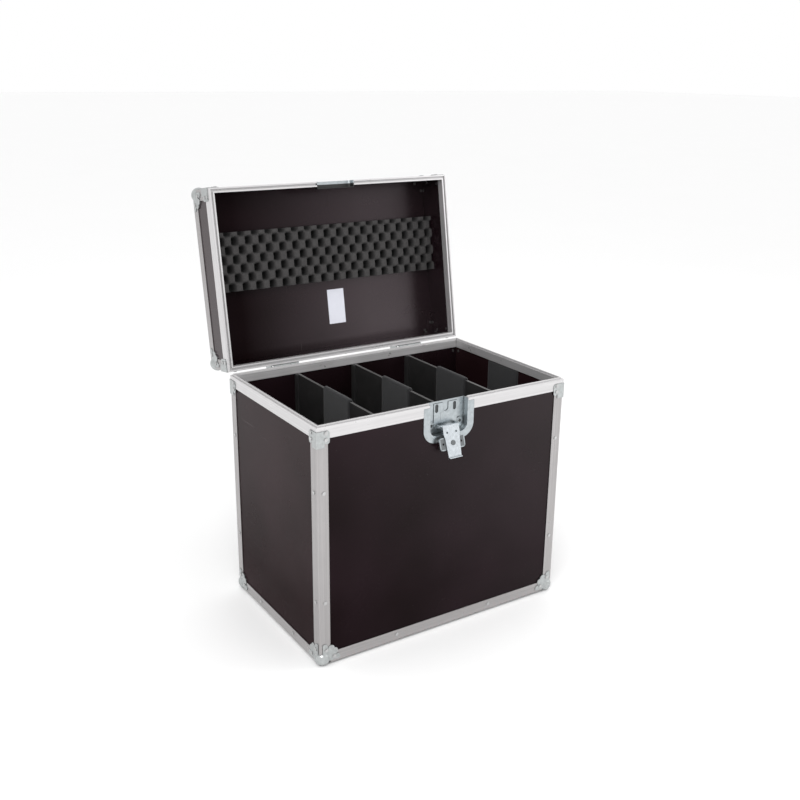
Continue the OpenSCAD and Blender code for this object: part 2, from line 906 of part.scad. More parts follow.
// Pressed plate on the recess floor with two long slots, two rivets and the pivot's ears
module latch_carriage() {
  color("#bfc8cc") placed() difference() {
    union() {
      span([-carriage_half, recess_y - carriage_t, split_z - recess_bottom + carriage_low],
        [carriage_half, recess_y, split_z - carriage_top]);
      span([-strip_half, recess_y - strip_proud, split_z - strip_low],
        [strip_half, recess_y - carriage_t / 2, split_z - strip_top]);
      for (s = [-1, 1]) {
        translate([s * ear_x - ear_t / 2, 0, pivot_z])
          span([0, pivot_y, -pivot_knuckle_r], [ear_t, recess_y - carriage_t, pivot_knuckle_r]);
        translate([s * ear_x - ear_t / 2, pivot_y, pivot_z]) rotate([0, 90, 0])
          cylinder(r = pivot_knuckle_r, h = ear_t);
        translate([s * side_rivet_x, recess_y, split_z - side_rivet_drop]) rotate([90, 0, 0])
          carriage_rivet();
      }
    }
    span([-notch_r, recess_y - 2 * carriage_t, key_z], [notch_r, recess_y + cut, split_z]);
    translate([0, recess_y + cut, key_z]) rotate([90, 0, 0]) cylinder(r = notch_r, h = 3 * carriage_t);
    for (s = [-1, 1]) carriage_slot(s * slot_x, split_z - slot_z[0], split_z - slot_z[1]);
    translate([-half_w, pivot_y, pivot_z]) rotate([0, 90, 0]) cylinder(r = pivot_r, h = case_w);
  }
}

module carriage_rivet() {
  cylinder(r = side_rivet_r, h = side_rivet_h);
  cylinder(r = side_rivet_top_r, h = side_rivet_top_h);
}

// Upright slot in the carriage, a box with round ends that leaves a thin floor
module carriage_slot(x, z1, z0) {
  depth = 2 * carriage_t;
  span([x - slot_r, recess_y - slot_floor - depth, z0], [x + slot_r, recess_y - slot_floor, z1]);
  for (z = [z0, z1]) translate([x, recess_y - slot_floor, z]) rotate([90, 0, 0])
    cylinder(r = slot_r, h = depth);
}

pin_end = 1.5;
pin_half = ear_x + ear_t / 2 + pin_end;

module latch_pivot_pin() {
  color("#8d9396") placed() translate([-pin_half, pivot_y, pivot_z]) rotate([0, 90, 0])
    cylinder(r = pivot_r, h = 2 * pin_half);
}

// ---- hook and key ----
hook_shoulder = 14;
hook_waist = 24;
hook_waist_half = hook_tip_w / 2 + 2;
hook_hole_r = 2;
hook_hole_x = 10;
hook_hole_z = 12;
root_over = 0.4;

// Drawn closed from the pivot: X across, Y inwards, Z towards the tip
module hook_outline() {
  for (s = [0, 1]) mirror([s, 0]) polygon([[-cut, 0], [hook_w / 2, 0], [hook_w / 2, hook_shoulder],
    [hook_waist_half, hook_waist], [hook_tip_w / 2, hook_len], [-cut, hook_len]]);
}

module latch_hook() {
  color("#d2dade") on_hook() difference() {
    union() {
      along_y(hook_offset, hook_offset + hook_t) hook_outline();
      span([-hook_w / 2, 0, -hook_t], [hook_w / 2, hook_offset + hook_t, hook_t * root_over]);
      translate([-hook_w / 2, 0, 0]) rotate([0, 90, 0]) cylinder(r = pivot_knuckle_r, h = hook_w);
      span([-hook_tip_w / 2, hook_offset, hook_len - hook_t],
        [hook_tip_w / 2, hook_offset + lip_len, hook_len]);
    }
    translate([-case_w, 0, 0]) rotate([0, 90, 0]) cylinder(r = pivot_r + run_gap, h = 2 * case_w);
    translate([0, 0, key_at]) rotate([-90, 0, 0]) cylinder(r = spindle_r + run_gap, h = 4 * hook_offset);
    for (s = [-1, 1]) translate([s * hook_hole_x, hook_offset - cut, hook_hole_z]) rotate([-90, 0, 0])
      cylinder(r = hook_hole_r, h = hook_t + 2 * cut);
  }
}

wing_r = 6;
wing_root_half = 5;
wing_flat = 4;
wing_hole_r = 2.2;
wing_hole_in = 8;
rim_bar = 1.6;
inner_r = 5;

// One wing's outline: (distance from the key's axis, height)
module wing_outline() {
  r = wing_r;
  h = wing_h / 2;
  difference() {
    union() {
      polygon([[0, -wing_root_half], [0, wing_root_half], [wing_reach - r - wing_flat, h],
        [wing_reach - r, h], [wing_reach, h - r], [wing_reach, -h + r], [wing_reach - r, -h],
        [wing_reach - r - wing_flat, -h]]);
      for (s = [-1, 1]) translate([wing_reach - r, s * (h - r)]) circle(r);
    }
    translate([wing_reach - wing_hole_in, 0]) circle(wing_hole_r);
  }
}

key_tail_h = 1.4;
key_foot = run_gap + 0.1;
boss_h = 2.2;
key_neck_r = 4;
wing_low = 1.2;
wing_high = key_h - wing_low;

// Butterfly key: spindle through the hook plate, boss and two wings with raised rims
module latch_key() {
  color("#c6ced2") on_hook() translate([0, hook_offset, key_at]) rotate([90, 0, 0]) {
    translate([0, 0, -hook_t - run_gap - key_tail_h]) {
      cylinder(r = spindle_r, h = key_tail_h + hook_t + run_gap + cut);
      cylinder(r = key_tail_r, h = key_tail_h);
    }
    translate([0, 0, key_foot]) {
      cylinder(r = boss_r, h = boss_h);
      cylinder(r = key_neck_r, h = key_h - 1);
    }
    for (s = [0, 1]) mirror([s, 0, 0]) translate([0, 0, wing_low]) {
      linear_extrude(wing_t) wing_outline();
      linear_extrude(wing_high - wing_low) intersection() {
        difference() {
          wing_outline();
          wing_inside();
        }
        translate([boss_r, -wing_h]) square([wing_reach, 2 * wing_h]);
      }
    }
  }
}

// Inner area of a wing, inside its raised rim
module wing_inside() {
  h = wing_h / 2 - rim_bar;
  root = wing_root_half - 1;
  far = wing_reach - rim_bar;
  bend = wing_reach - wing_r - 5;
  polygon([[-cut, -root], [-cut, root], [bend, h], [far - inner_r, h], [far, h - inner_r],
    [far, -h + inner_r], [far - inner_r, -h], [bend, -h]]);
}

// ---- hinges ----
knuckle_len = hinge_w / 3;

// Knuckle about the hinge axis between two places along it
module knuckle(from, to) {
  translate([from, 0, 0]) rotate([0, 90, 0]) cylinder(r = knuckle_r, h = to - from);
}

module pin_hole(extra) {
  translate([-hinge_w, 0, 0]) rotate([0, 90, 0]) cylinder(r = hinge_pin_r + extra, h = 2 * hinge_w);
}

leaf_corner_r = 6;

// Outline of a leaf, standing up from the hinge axis
module leaf_outline() {
  r = leaf_corner_r;
  w = hinge_w / 2;
  translate([-w, knuckle_r]) square([2 * w, leaf_h - knuckle_r - r]);
  translate([-w + r, knuckle_r]) square([2 * (w - r), leaf_h - knuckle_r]);
  for (s = [-1, 1]) translate([s * (w - r), leaf_h - r]) circle(r);
}

leaf_y = -hinge_out;
neck_low = 0.6;

// Leaf standing up from the axis, on the back face, joggled down to the panel past the rim
module leaf() {
  along_y(leaf_y, leaf_y + leaf_t) leaf_outline();
  intersection() {
    along_y(leaf_y - edge_t, leaf_y) leaf_outline();
    span([-hinge_w, leaf_y - 2 * edge_t, edge_w + seat_gap], [hinge_w, leaf_y + edge_t, 2 * leaf_h]);
  }
}

leaf_rivets = [[-20, 34], [20, 34], [0, 42]];

module leaf_rivet_set() {
  for (p = leaf_rivets) translate([p[0], leaf_y + leaf_t, p[1]]) rotate([-90, 0, 0]) rivet_head();
}

// Neck that joins a knuckle to its leaf
module neck(from, to) {
  span([from, leaf_y, neck_low], [to, leaf_y + leaf_t, knuckle_r + cut]);
}

module base_leaf(x) {
  w = hinge_w / 2;
  k = knuckle_len / 2 + seat_gap / 2;
  translate([x, hinge_y, split_z]) mirror([0, 0, 1]) difference() {
    union() {
      leaf();
      leaf_rivet_set();
      for (s = [0, 1]) mirror([s, 0, 0]) {
        knuckle(k, w - ear_room);
        neck(k, w - ear_room);
      }
    }
    pin_hole(0);
    span([-k, leaf_y - cut, -cut], [k, knuckle_r + cut, knuckle_r + seat_gap]);
    for (s = [0, 1]) mirror([s, 0, 0])
      span([w - ear_room, leaf_y + leaf_t, -cut], [w + cut, knuckle_r + cut, leaf_h]);
  }
}

ear_room = leaf_t + 2 * seat_gap;

ear_from = 10;
ear_to = 34;
ear_step = 6;
ear_tip = 4;
ear_root = 7;

// Stop ear in the plane across the hinge, drawn closed; its long edge lands on the base leaf
module ear_outline() {
  stop = leaf_y + leaf_t + seat_gap;
  leaf_mid = leaf_y + leaf_t / 2;
  polygon([[leaf_mid, ear_from], [leaf_mid, ear_to], [leaf_y + leaf_t + ear_step, ear_to],
    closed([stop, -ear_reach]) + [0, ear_tip], closed([stop, -ear_reach]),
    closed([stop, -ear_root])]);
}

module lid_leaf(x) {
  w = hinge_w / 2;
  k = knuckle_len / 2 - seat_gap / 2;
  translate([x, hinge_y, split_z]) difference() {
    union() {
      difference() {
        leaf();
        for (s = [0, 1]) mirror([s, 0, 0])
          span([k, leaf_y - cut, 0], [w + cut, leaf_y + leaf_t + cut, knuckle_r + seat_gap]);
      }
      leaf_rivet_set();
      knuckle(-k, k);
      neck(-k, k);
      for (s = [0, 1]) mirror([s, 0, 0]) along_x(w - leaf_t, w) ear_outline();
    }
    pin_hole(run_gap);
  }
}

module base_leaf_left() {
  color("#9fa5a6") placed() base_leaf(-hinge_x);
}

module base_leaf_right() {
  color("#9fa5a6") placed() base_leaf(hinge_x);
}

module lid_leaf_left() {
  color("#9fa5a6") on_lid() lid_leaf(-hinge_x);
}

module lid_leaf_right() {
  color("#9fa5a6") on_lid() lid_leaf(hinge_x);
}

module hinge_pins() {
  color("#8d9396") placed() for (s = [-1, 1]) translate([s * hinge_x, hinge_y, split_z])
    rotate([0, 90, 0]) cylinder(r = hinge_pin_r, h = hinge_w - 2 * ear_room, center = true);
}

// ---- dividers ----
divider_x = [-bay, 0, bay];

module divider(x) {
  span([x - divider_t / 2, -divider_half_d, divider_bottom],
    [x + divider_t / 2, divider_half_d, divider_top]);
}

module divider_left() {
  color("#1b1b1c") placed() divider(divider_x[0]);
}

module divider_middle() {
  color("#1b1b1c") placed() divider(divider_x[1]);
}

module divider_right() {
  color("#1b1b1c") placed() divider(divider_x[2]);
}

// Channel on the inside of the front wall at x, up to a height
module rail(x, top) {
  difference() {
    span([x - rail_w / 2, -in_d, bottom_z + inset], [x + rail_w / 2, -in_d + rail_d, top]);
    span([x - groove_side / 2, -divider_half_d - seat_gap, bottom_z],
      [x + groove_side / 2, in_d, top + cut]);
  }
}

module divider_rails() {
  color("#222224") placed() {
    for (x = divider_x) mirror([0, 1, 0]) rail(x, rail_top);
    rail(divider_x[0], rail_top);
    rail(divider_x[2], rail_top);
    rail(divider_x[1], split_z - recess_bottom - 2 * dish_t - seat_gap);
  }
}

// Soft pad folded over a divider
module pad(x) {
  along = pad_w / 2;
  w = divider_t / 2 + pad_t;
  difference() {
    union() {
      span([x - w, -along, divider_top - pad_drop], [x + w, along, divider_top]);
      translate([x, along, divider_top]) rotate([90, 0, 0]) cylinder(r = w, h = 2 * along);
    }
    span([x - divider_t / 2, -along - cut, divider_top - pad_drop - cut],
      [x + divider_t / 2, along + cut, divider_top]);
  }
}

module pad_left() {
  color("#3a3a3b") placed() pad(divider_x[0]);
}

module pad_middle() {
  color("#3a3a3b") placed() pad(divider_x[1]);
}

module pad_right() {
  color("#3a3a3b") placed() pad(divider_x[2]);
}

module wall_pads() {
  top = base_rim_z - rim_inner_h - seat_gap;
  color("#3a3a3b") placed() for (s = [0, 1]) mirror([s, 0, 0])
    span([in_w - pad_t, -pad_w / 2, top - wall_pad_drop], [in_w, pad_w / 2, top]);
}

// ---- lid lining ----
foam_base_t = 12;
foam_peaks_x = floor(2 * in_w / foam_pitch);
foam_peaks_y = floor(2 * foam_w / foam_pitch);
foam_x0 = -foam_peaks_x * foam_pitch / 2;
foam_row = foam_w / foam_peaks_y;
peak_low_r = 0.7 * foam_row;
peak_top_r = 4;
peak_sides = 8;

// Foam strip glued to the lid: a flat back and staggered rows of peaks
module lid_foam() {
  color("#343233") on_lid() {
    span([-in_w + seat_gap, -half_d + foam_from, lid_z - inset - foam_base_t],
      [in_w - seat_gap, -half_d + foam_from + foam_w, lid_z - inset]);
    for (j = [0 : foam_peaks_y - 1], i = [0 : foam_peaks_x - 1 - j % 2])
      translate([foam_x0 + (i + 0.5 + 0.5 * (j % 2)) * foam_pitch,
        -half_d + foam_from + (j + 0.5) * foam_row, lid_z - inset - foam_base_t])
        rotate([180, 0, 0])
          cylinder(r1 = peak_low_r, r2 = peak_top_r, h = foam_t - foam_base_t, $fn = peak_sides);
  }
}

label_x = 21;
label_y = 84;

module lid_label() {
  color("#dfe0ea") on_lid() translate([label_x, label_y, lid_z - inset - label_t])
    linear_extrude(label_t) square([label_w, label_h], center = true);
}

// ---- handle ----
bracket_w = 34;
bracket_len = 40;
bracket_t = 2;
bracket_in = 4;
lug_r = 6.2;
lug_w = 10;
bracket_rivet = [20, 12];
bail_z = lid_z - edge_t + bail_up;
bail_axis_r = bail_r + run_gap;

// Bracket on the lid's top at the right end of the handle
module handle_bracket() {
  translate([handle_w / 2, 0, lid_z - edge_t]) difference() {
    union() {
      span([0, -bracket_len / 2, 0], [bracket_w, bracket_len / 2, bracket_t]);
      span([0, -lug_r, 0], [lug_w, lug_r, bail_up]);
      translate([0, 0, bail_up]) rotate([0, 90, 0]) cylinder(r = lug_r, h = lug_w);
      for (s = [-1, 1]) translate([bracket_in + bracket_rivet[0], s * bracket_rivet[1], bracket_t])
        rivet_head();
    }
    translate([-cut, 0, bail_up]) rotate([0, 90, 0]) cylinder(r = bail_axis_r, h = lug_w + 2 * cut);
  }
}

module handle_brackets() {
  color("#9fa5a6") on_lid() for (s = [0, 1]) mirror([s, 0, 0]) handle_bracket();
}

bend_r = 8;
bail_side = handle_w / 2 - 5;
bail_end = 13.5;

// Bail lying back from its axis, towards the hinges
module handle_bail() {
  color("#8d9396") on_lid() translate([0, 0, bail_z]) {
    for (s = [0, 1]) mirror([s, 0, 0]) {
      translate([bail_side, 0, 0]) rotate([0, 90, 0]) cylinder(r = bail_r, h = bail_end);
      translate([bail_side, 0, 0]) sphere(bail_r);
      translate([bail_side, 0, 0]) rotate([-90, 0, 0]) cylinder(r = bail_r, h = bail_len - bend_r);
      translate([bail_side - bend_r, bail_len - bend_r, 0]) rotate_extrude(angle = 90)
        translate([bend_r, 0]) circle(bail_r);
    }
    translate([-bail_side + bend_r, bail_len, 0]) rotate([0, 90, 0])
      cylinder(r = bail_r, h = 2 * (bail_side - bend_r));
  }
}

grip_len = 104;
rib_pitch = 14;
rib_w = 8;
rib_h = 0.5;

module handle_grip() {
  color("#1c1c1d") on_lid() translate([0, bail_len, bail_z]) difference() {
    union() {
      rotate([0, 90, 0]) cylinder(r = grip_r, h = grip_len, center = true);
      for (i = [-3 : 3]) translate([i * rib_pitch, 0, 0]) rotate([0, 90, 0])
        cylinder(r = grip_r + rib_h, h = rib_w, center = true);
    }
    rotate([0, 90, 0]) cylinder(r = bail_r, h = case_w, center = true);
  }
}

front_panel();
back_panel();
left_panel();
right_panel();
floor_panel();
upright_front_left();
upright_front_right();
upright_back_left();
upright_back_right();
floor_edge_front();
floor_edge_back();
floor_edge_left();
floor_edge_right();
rim_front();
rim_back();
rim_left();
rim_right();
floor_ball_corners();
base_braces();
base_rivets();
latch_dish();
latch_carriage();
latch_pivot_pin();
divider_rails();
wall_pads();
base_leaf_left();
base_leaf_right();
hinge_pins();
lid_top_panel();
lid_front_panel();
lid_back_panel();
lid_left_panel();
lid_right_panel();
lid_uprights();
lid_top_edges();
lid_rim_front();
lid_rim_back();
lid_rim_left();
lid_rim_right();
lid_ball_corners();
lid_braces();
lid_rivets();
latch_keeper();
lid_leaf_left();
lid_leaf_right();
lid_foam();
lid_label();
handle_brackets();
handle_bail();
handle_grip();
latch_hook();
latch_key();
divider_left();
divider_middle();
divider_right();
pad_left();
pad_middle();
pad_right();
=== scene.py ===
"""Looks of an open record case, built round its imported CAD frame.

X runs along the front, Y from front to back, Z up, in metres. The lid stands open.
"""
import json
import math

import bmesh
import bpy
import numpy as np
from mathutils import Matrix, Vector


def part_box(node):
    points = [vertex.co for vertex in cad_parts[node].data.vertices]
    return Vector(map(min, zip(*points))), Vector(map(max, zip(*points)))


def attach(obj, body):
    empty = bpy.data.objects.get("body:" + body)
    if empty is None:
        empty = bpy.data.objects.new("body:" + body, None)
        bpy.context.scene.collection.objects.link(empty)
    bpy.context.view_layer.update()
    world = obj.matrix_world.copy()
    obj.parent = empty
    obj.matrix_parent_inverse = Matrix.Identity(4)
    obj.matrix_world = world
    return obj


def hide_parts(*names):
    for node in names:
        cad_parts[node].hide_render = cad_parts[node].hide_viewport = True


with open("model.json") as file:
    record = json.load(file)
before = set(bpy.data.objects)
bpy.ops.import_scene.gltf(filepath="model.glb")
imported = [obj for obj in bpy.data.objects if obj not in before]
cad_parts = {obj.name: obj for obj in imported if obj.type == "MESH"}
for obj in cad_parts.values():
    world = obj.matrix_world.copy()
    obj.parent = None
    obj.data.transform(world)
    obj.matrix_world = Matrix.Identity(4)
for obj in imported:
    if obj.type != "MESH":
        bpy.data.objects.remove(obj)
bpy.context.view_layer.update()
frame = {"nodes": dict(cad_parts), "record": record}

MM = 0.001
JOINTS = {joint["name"]: joint for joint in frame["record"]["behaviour"]["joints"]}

# The lid's hinge line and the angle by which the lid stands open
HINGE = Vector(JOINTS["lid_hinge"]["pos_m"])
LID_OPEN = math.radians(-JOINTS["lid_hinge"]["range_deg"][0])
# The angle from the hanging hook to the closed one
HOOK_SWING = math.radians(JOINTS["hook_swing"]["range_deg"][1])

# Middle of the base, front to back, and the underside of its edging
MID_Y = (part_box("upright_front_left")[0][1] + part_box("upright_back_left")[1][1]) / 2
EDGE_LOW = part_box("floor_edge_front")[0][2]


# ---- places ----
def turned(points, centre, angle):
    """Points turned about the line along X through centre.

    y' = y cos - z sin, z' = y sin + z cos, both measured from the centre.
    """
    p = np.asarray(points, dtype=float)
    y = p[..., 1] - centre[1]
    z = p[..., 2] - centre[2]
    c, s = math.cos(angle), math.sin(angle)
    return np.stack([p[..., 0], y * c - z * s + centre[1], y * s + z * c + centre[2]], axis=-1)


def opened(points):
    """Points of the closed lid, moved to where the open lid has them."""
    return turned(points, HINGE, -LID_OPEN)


def turned_box(node, centre, angle):
    """Lowest and highest corner of a node turned about the line along X through centre."""
    points = turned([v.co[:] for v in frame["nodes"][node].data.vertices], centre, angle)
    return points.min(axis=0), points.max(axis=0)


# ---- meshes ----
def new_object(name, vertices, faces, smooth=True):
    mesh = bpy.data.meshes.new(name)
    mesh.from_pydata([tuple(v) for v in vertices], [], [tuple(f) for f in faces])
    mesh.validate()
    mesh.update()
    if smooth:
        mesh.polygons.foreach_set("use_smooth", [True] * len(mesh.polygons))
    piece = bpy.data.objects.new(name, mesh)
    bpy.context.scene.collection.objects.link(piece)
    return piece


def grid_faces(rows, columns, start=0, flip=False):
    """Quads of a grid of rows x columns points, numbered row by row from start."""
    faces = []
    for i in range(rows - 1):
        for j in range(columns - 1):
            a = start + i * columns + j
            quad = (a, a + 1, a + columns + 1, a + columns)
            faces.append(quad[::-1] if flip else quad)
    return faces


def shell(name, top, bottom):
    """Closed piece between two grids of points of one shape, joined round their edges."""
    rows, columns = top.shape[:2]
    count = rows * columns
    vertices = np.concatenate([top.reshape(-1, 3), bottom.reshape(-1, 3)])
    faces = grid_faces(rows, columns) + grid_faces(rows, columns, count, flip=True)
    ring = list(range(columns))
    ring += [i * columns + columns - 1 for i in range(1, rows)]
    ring += [(rows - 1) * columns + j for j in range(columns - 2, -1, -1)]
    ring += [i * columns for i in range(rows - 2, 0, -1)]
    for a, b in zip(ring, ring[1:] + ring[:1]):
        faces.append((b, a, a + count, b + count))
    piece = new_object(name, vertices, faces)
    solid = bmesh.new()
    solid.from_mesh(piece.data)
    bmesh.ops.recalc_face_normals(solid, faces=solid.faces)
    solid.to_mesh(piece.data)
    solid.free()
    return piece


# Unevenness: number of waves, the range of their rates in radians per metre, how fast the later
# ones fade, and what their sum is divided by
RIPPLE_WAVES = 5
RIPPLE_RATES = (30, 150)
RIPPLE_FADE = 0.4
RIPPLE_DIVISOR = 3


def ripple(a, b, seed):
    """Gentle unevenness, about -1 to 1, of two coordinates in metres."""
    rng = np.random.default_rng(seed)
    total = np.zeros_like(a)
    for k in range(RIPPLE_WAVES):
        fa, fb = rng.uniform(*RIPPLE_RATES, 2)
        pa, pb = rng.uniform(0, 2 * math.pi, 2)
        total = total + np.sin(fa * a + pa) * np.sin(fb * b + pb) / (1 + RIPPLE_FADE * k)
    return total / RIPPLE_DIVISOR


def thinned(share, a, b, seed):
    """Factor near 1 that takes away 0 to about twice the share, unevenly over a and b."""
    return 1 - share * (1 + ripple(a, b, seed))


# ---- foam in the lid ----
# Peaks repeat at these distances; every second row is staggered by half of the first
FOAM_PEAK_X = 30 * MM
FOAM_PEAK_Y = 37 * MM
# Height of the hollows as a share of the whole height
FOAM_VALLEY = 0.25
# k and b of egg_crate
FOAM_STEEP = 3.2
FOAM_BROAD = 0.30
# Distance between the points of the mesh
FOAM_STEP = 1.3 * MM
FOAM_UNEVEN = 0.05
FOAM_SEED = 3


def egg_crate(x, y):
    """Height share of staggered peaks and hollows.

    w = cos(2 pi x / px) cos(2 pi y / py) is 1 on a peak and -1 in a hollow. tanh(k (w + b)) blunts
    both, makes the peaks broader than the hollows and is then brought to 0..1.
    """
    wave = np.cos(2 * math.pi * x / FOAM_PEAK_X) * np.cos(2 * math.pi * y / FOAM_PEAK_Y)
    low = math.tanh(FOAM_STEEP * (FOAM_BROAD - 1))
    high = math.tanh(FOAM_STEEP * (FOAM_BROAD + 1))
    return (np.tanh(FOAM_STEEP * (wave + FOAM_BROAD)) - low) / (high - low)


def make_foam():
    """Egg-crate foam, built for the closed lid and turned open with it."""
    low, high = turned_box("lid_foam", HINGE, LID_OPEN)
    columns = int((high[0] - low[0]) / FOAM_STEP)
    rows = int((high[1] - low[1]) / FOAM_STEP)
    x, y = np.meshgrid(np.linspace(low[0], high[0], columns), np.linspace(low[1], high[1], rows))
    share = FOAM_VALLEY + (1 - FOAM_VALLEY) * egg_crate(x, y - low[1])
    share = share * thinned(FOAM_UNEVEN, x, y, FOAM_SEED)
    depth = (high[2] - low[2]) * share
    peaks = np.stack([x, y, high[2] - depth], axis=-1)
    back = np.stack([x, y, np.full_like(x, high[2])], axis=-1)
    foam = shell("foam_egg_crate", opened(back), opened(peaks))
    shade = foam.data.attributes.new("height", "FLOAT", "POINT")
    values = np.concatenate([np.zeros(x.size), share.ravel()])
    shade.data.foreach_set("value", values.astype(np.float32))
    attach(foam, "lid")
    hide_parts("lid_foam")
    return foam


# ---- pads ----
# Width over which the felt thins out to its edges
PAD_EDGE = 5 * MM
# Points along the folded strip, from top to bottom of a wall pad, and across both
STRIP_POINTS = 220
WALL_POINTS = 110
ACROSS_POINTS = 90
PAD_UNEVEN = 0.06
# The felt's inner face stands half of this off its divider
PAD_CLEAR = 0.01 * MM
STRIP_SEED = 11
WALL_SEED = 21


def width_of(node):
    low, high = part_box(node)
    return high[0] - low[0]


FELT_THICK = (width_of("pad_left") - width_of("divider_left")) / 2


def thin_edge(a, low, high):
    """0 at both ends of low..high, rising as a quarter circle to 1 at PAD_EDGE from them."""
    t = np.clip(np.minimum(a - low, high - a) / PAD_EDGE, 0, 1)
    return np.sqrt(1 - (1 - t) ** 2)


def folded_pad(node, divider, body, seed):
    """Felt folded over a divider: down one side, over the top in a half circle, down the other."""
    low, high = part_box(node)
    board_low, board_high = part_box(divider)
    middle = (low[0] + high[0]) / 2
    half = (board_high[0] - board_low[0]) / 2
    bend_z = board_high[2]
    drop = bend_z - low[2]
    bend = math.pi * (half + FELT_THICK / 2)
    length = 2 * drop + bend
    s, y = np.meshgrid(np.linspace(0, length, STRIP_POINTS),
                       np.linspace(low[1], high[1], ACROSS_POINTS), indexing="ij")
    angle = np.clip((s - drop) / bend, 0, 1) * math.pi
    side_z = np.where(s < drop, s - drop, 0) + np.where(s > drop + bend, drop + bend - s, 0)
    thick = FELT_THICK * (thin_edge(s, 0, length) * thin_edge(y, low[1], high[1]))
    thick = thick * thinned(PAD_UNEVEN, s, y, seed)

    def surface(offset):
        reach = half + offset
        x = middle - reach * np.cos(angle)
        return np.stack([x, y, bend_z + side_z + reach * np.sin(angle)], axis=-1)

    inner = surface(np.full_like(thick, PAD_CLEAR / 2))
    pad = shell(node + "_felt", surface(thick + PAD_CLEAR), inner)
    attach(pad, body)
    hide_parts(node)
    return pad


def wall_pad(name, side, seed):
    """Felt on a side wall: side is -1 for the left wall and 1 for the right one."""
    low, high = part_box("wall_pads")
    wall = high[0] * side
    z, y = np.meshgrid(np.linspace(low[2], high[2], WALL_POINTS),
                       np.linspace(low[1], high[1], ACROSS_POINTS), indexing="ij")
    thick = FELT_THICK * (thin_edge(z, low[2], high[2]) * thin_edge(y, low[1], high[1]))
    thick = thick * thinned(PAD_UNEVEN, z, y, seed)
    inner = np.stack([wall - side * thick, y, z], axis=-1)
    outer = np.stack([np.full_like(z, wall), y, z], axis=-1)
    pad = shell(name, inner, outer)
    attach(pad, "base")
    return pad


# ---- materials ----
# Noise scales are per metre, depths and radii in metres, turns in radians about X

# Sockets of the Mix node for colours, which share their names with those for numbers
MIX_FACTOR, MIX_FIRST, MIX_SECOND, MIX_RESULT = 0, 6, 7, 2
# Most values of a noise lie in this range
NOISE_RANGE = (0.3, 0.7)
NOISE_DETAIL = 4.0
NOISE_ROUGH = 0.6
OCCLUSION_SAMPLES = 8
# Open air round a point, as a share: no painted shade from the first value up, full painted
# shade from the second down
CREVICE_SHADE_RANGE = (0.85, 0.25)
BEVEL_SAMPLES = 4


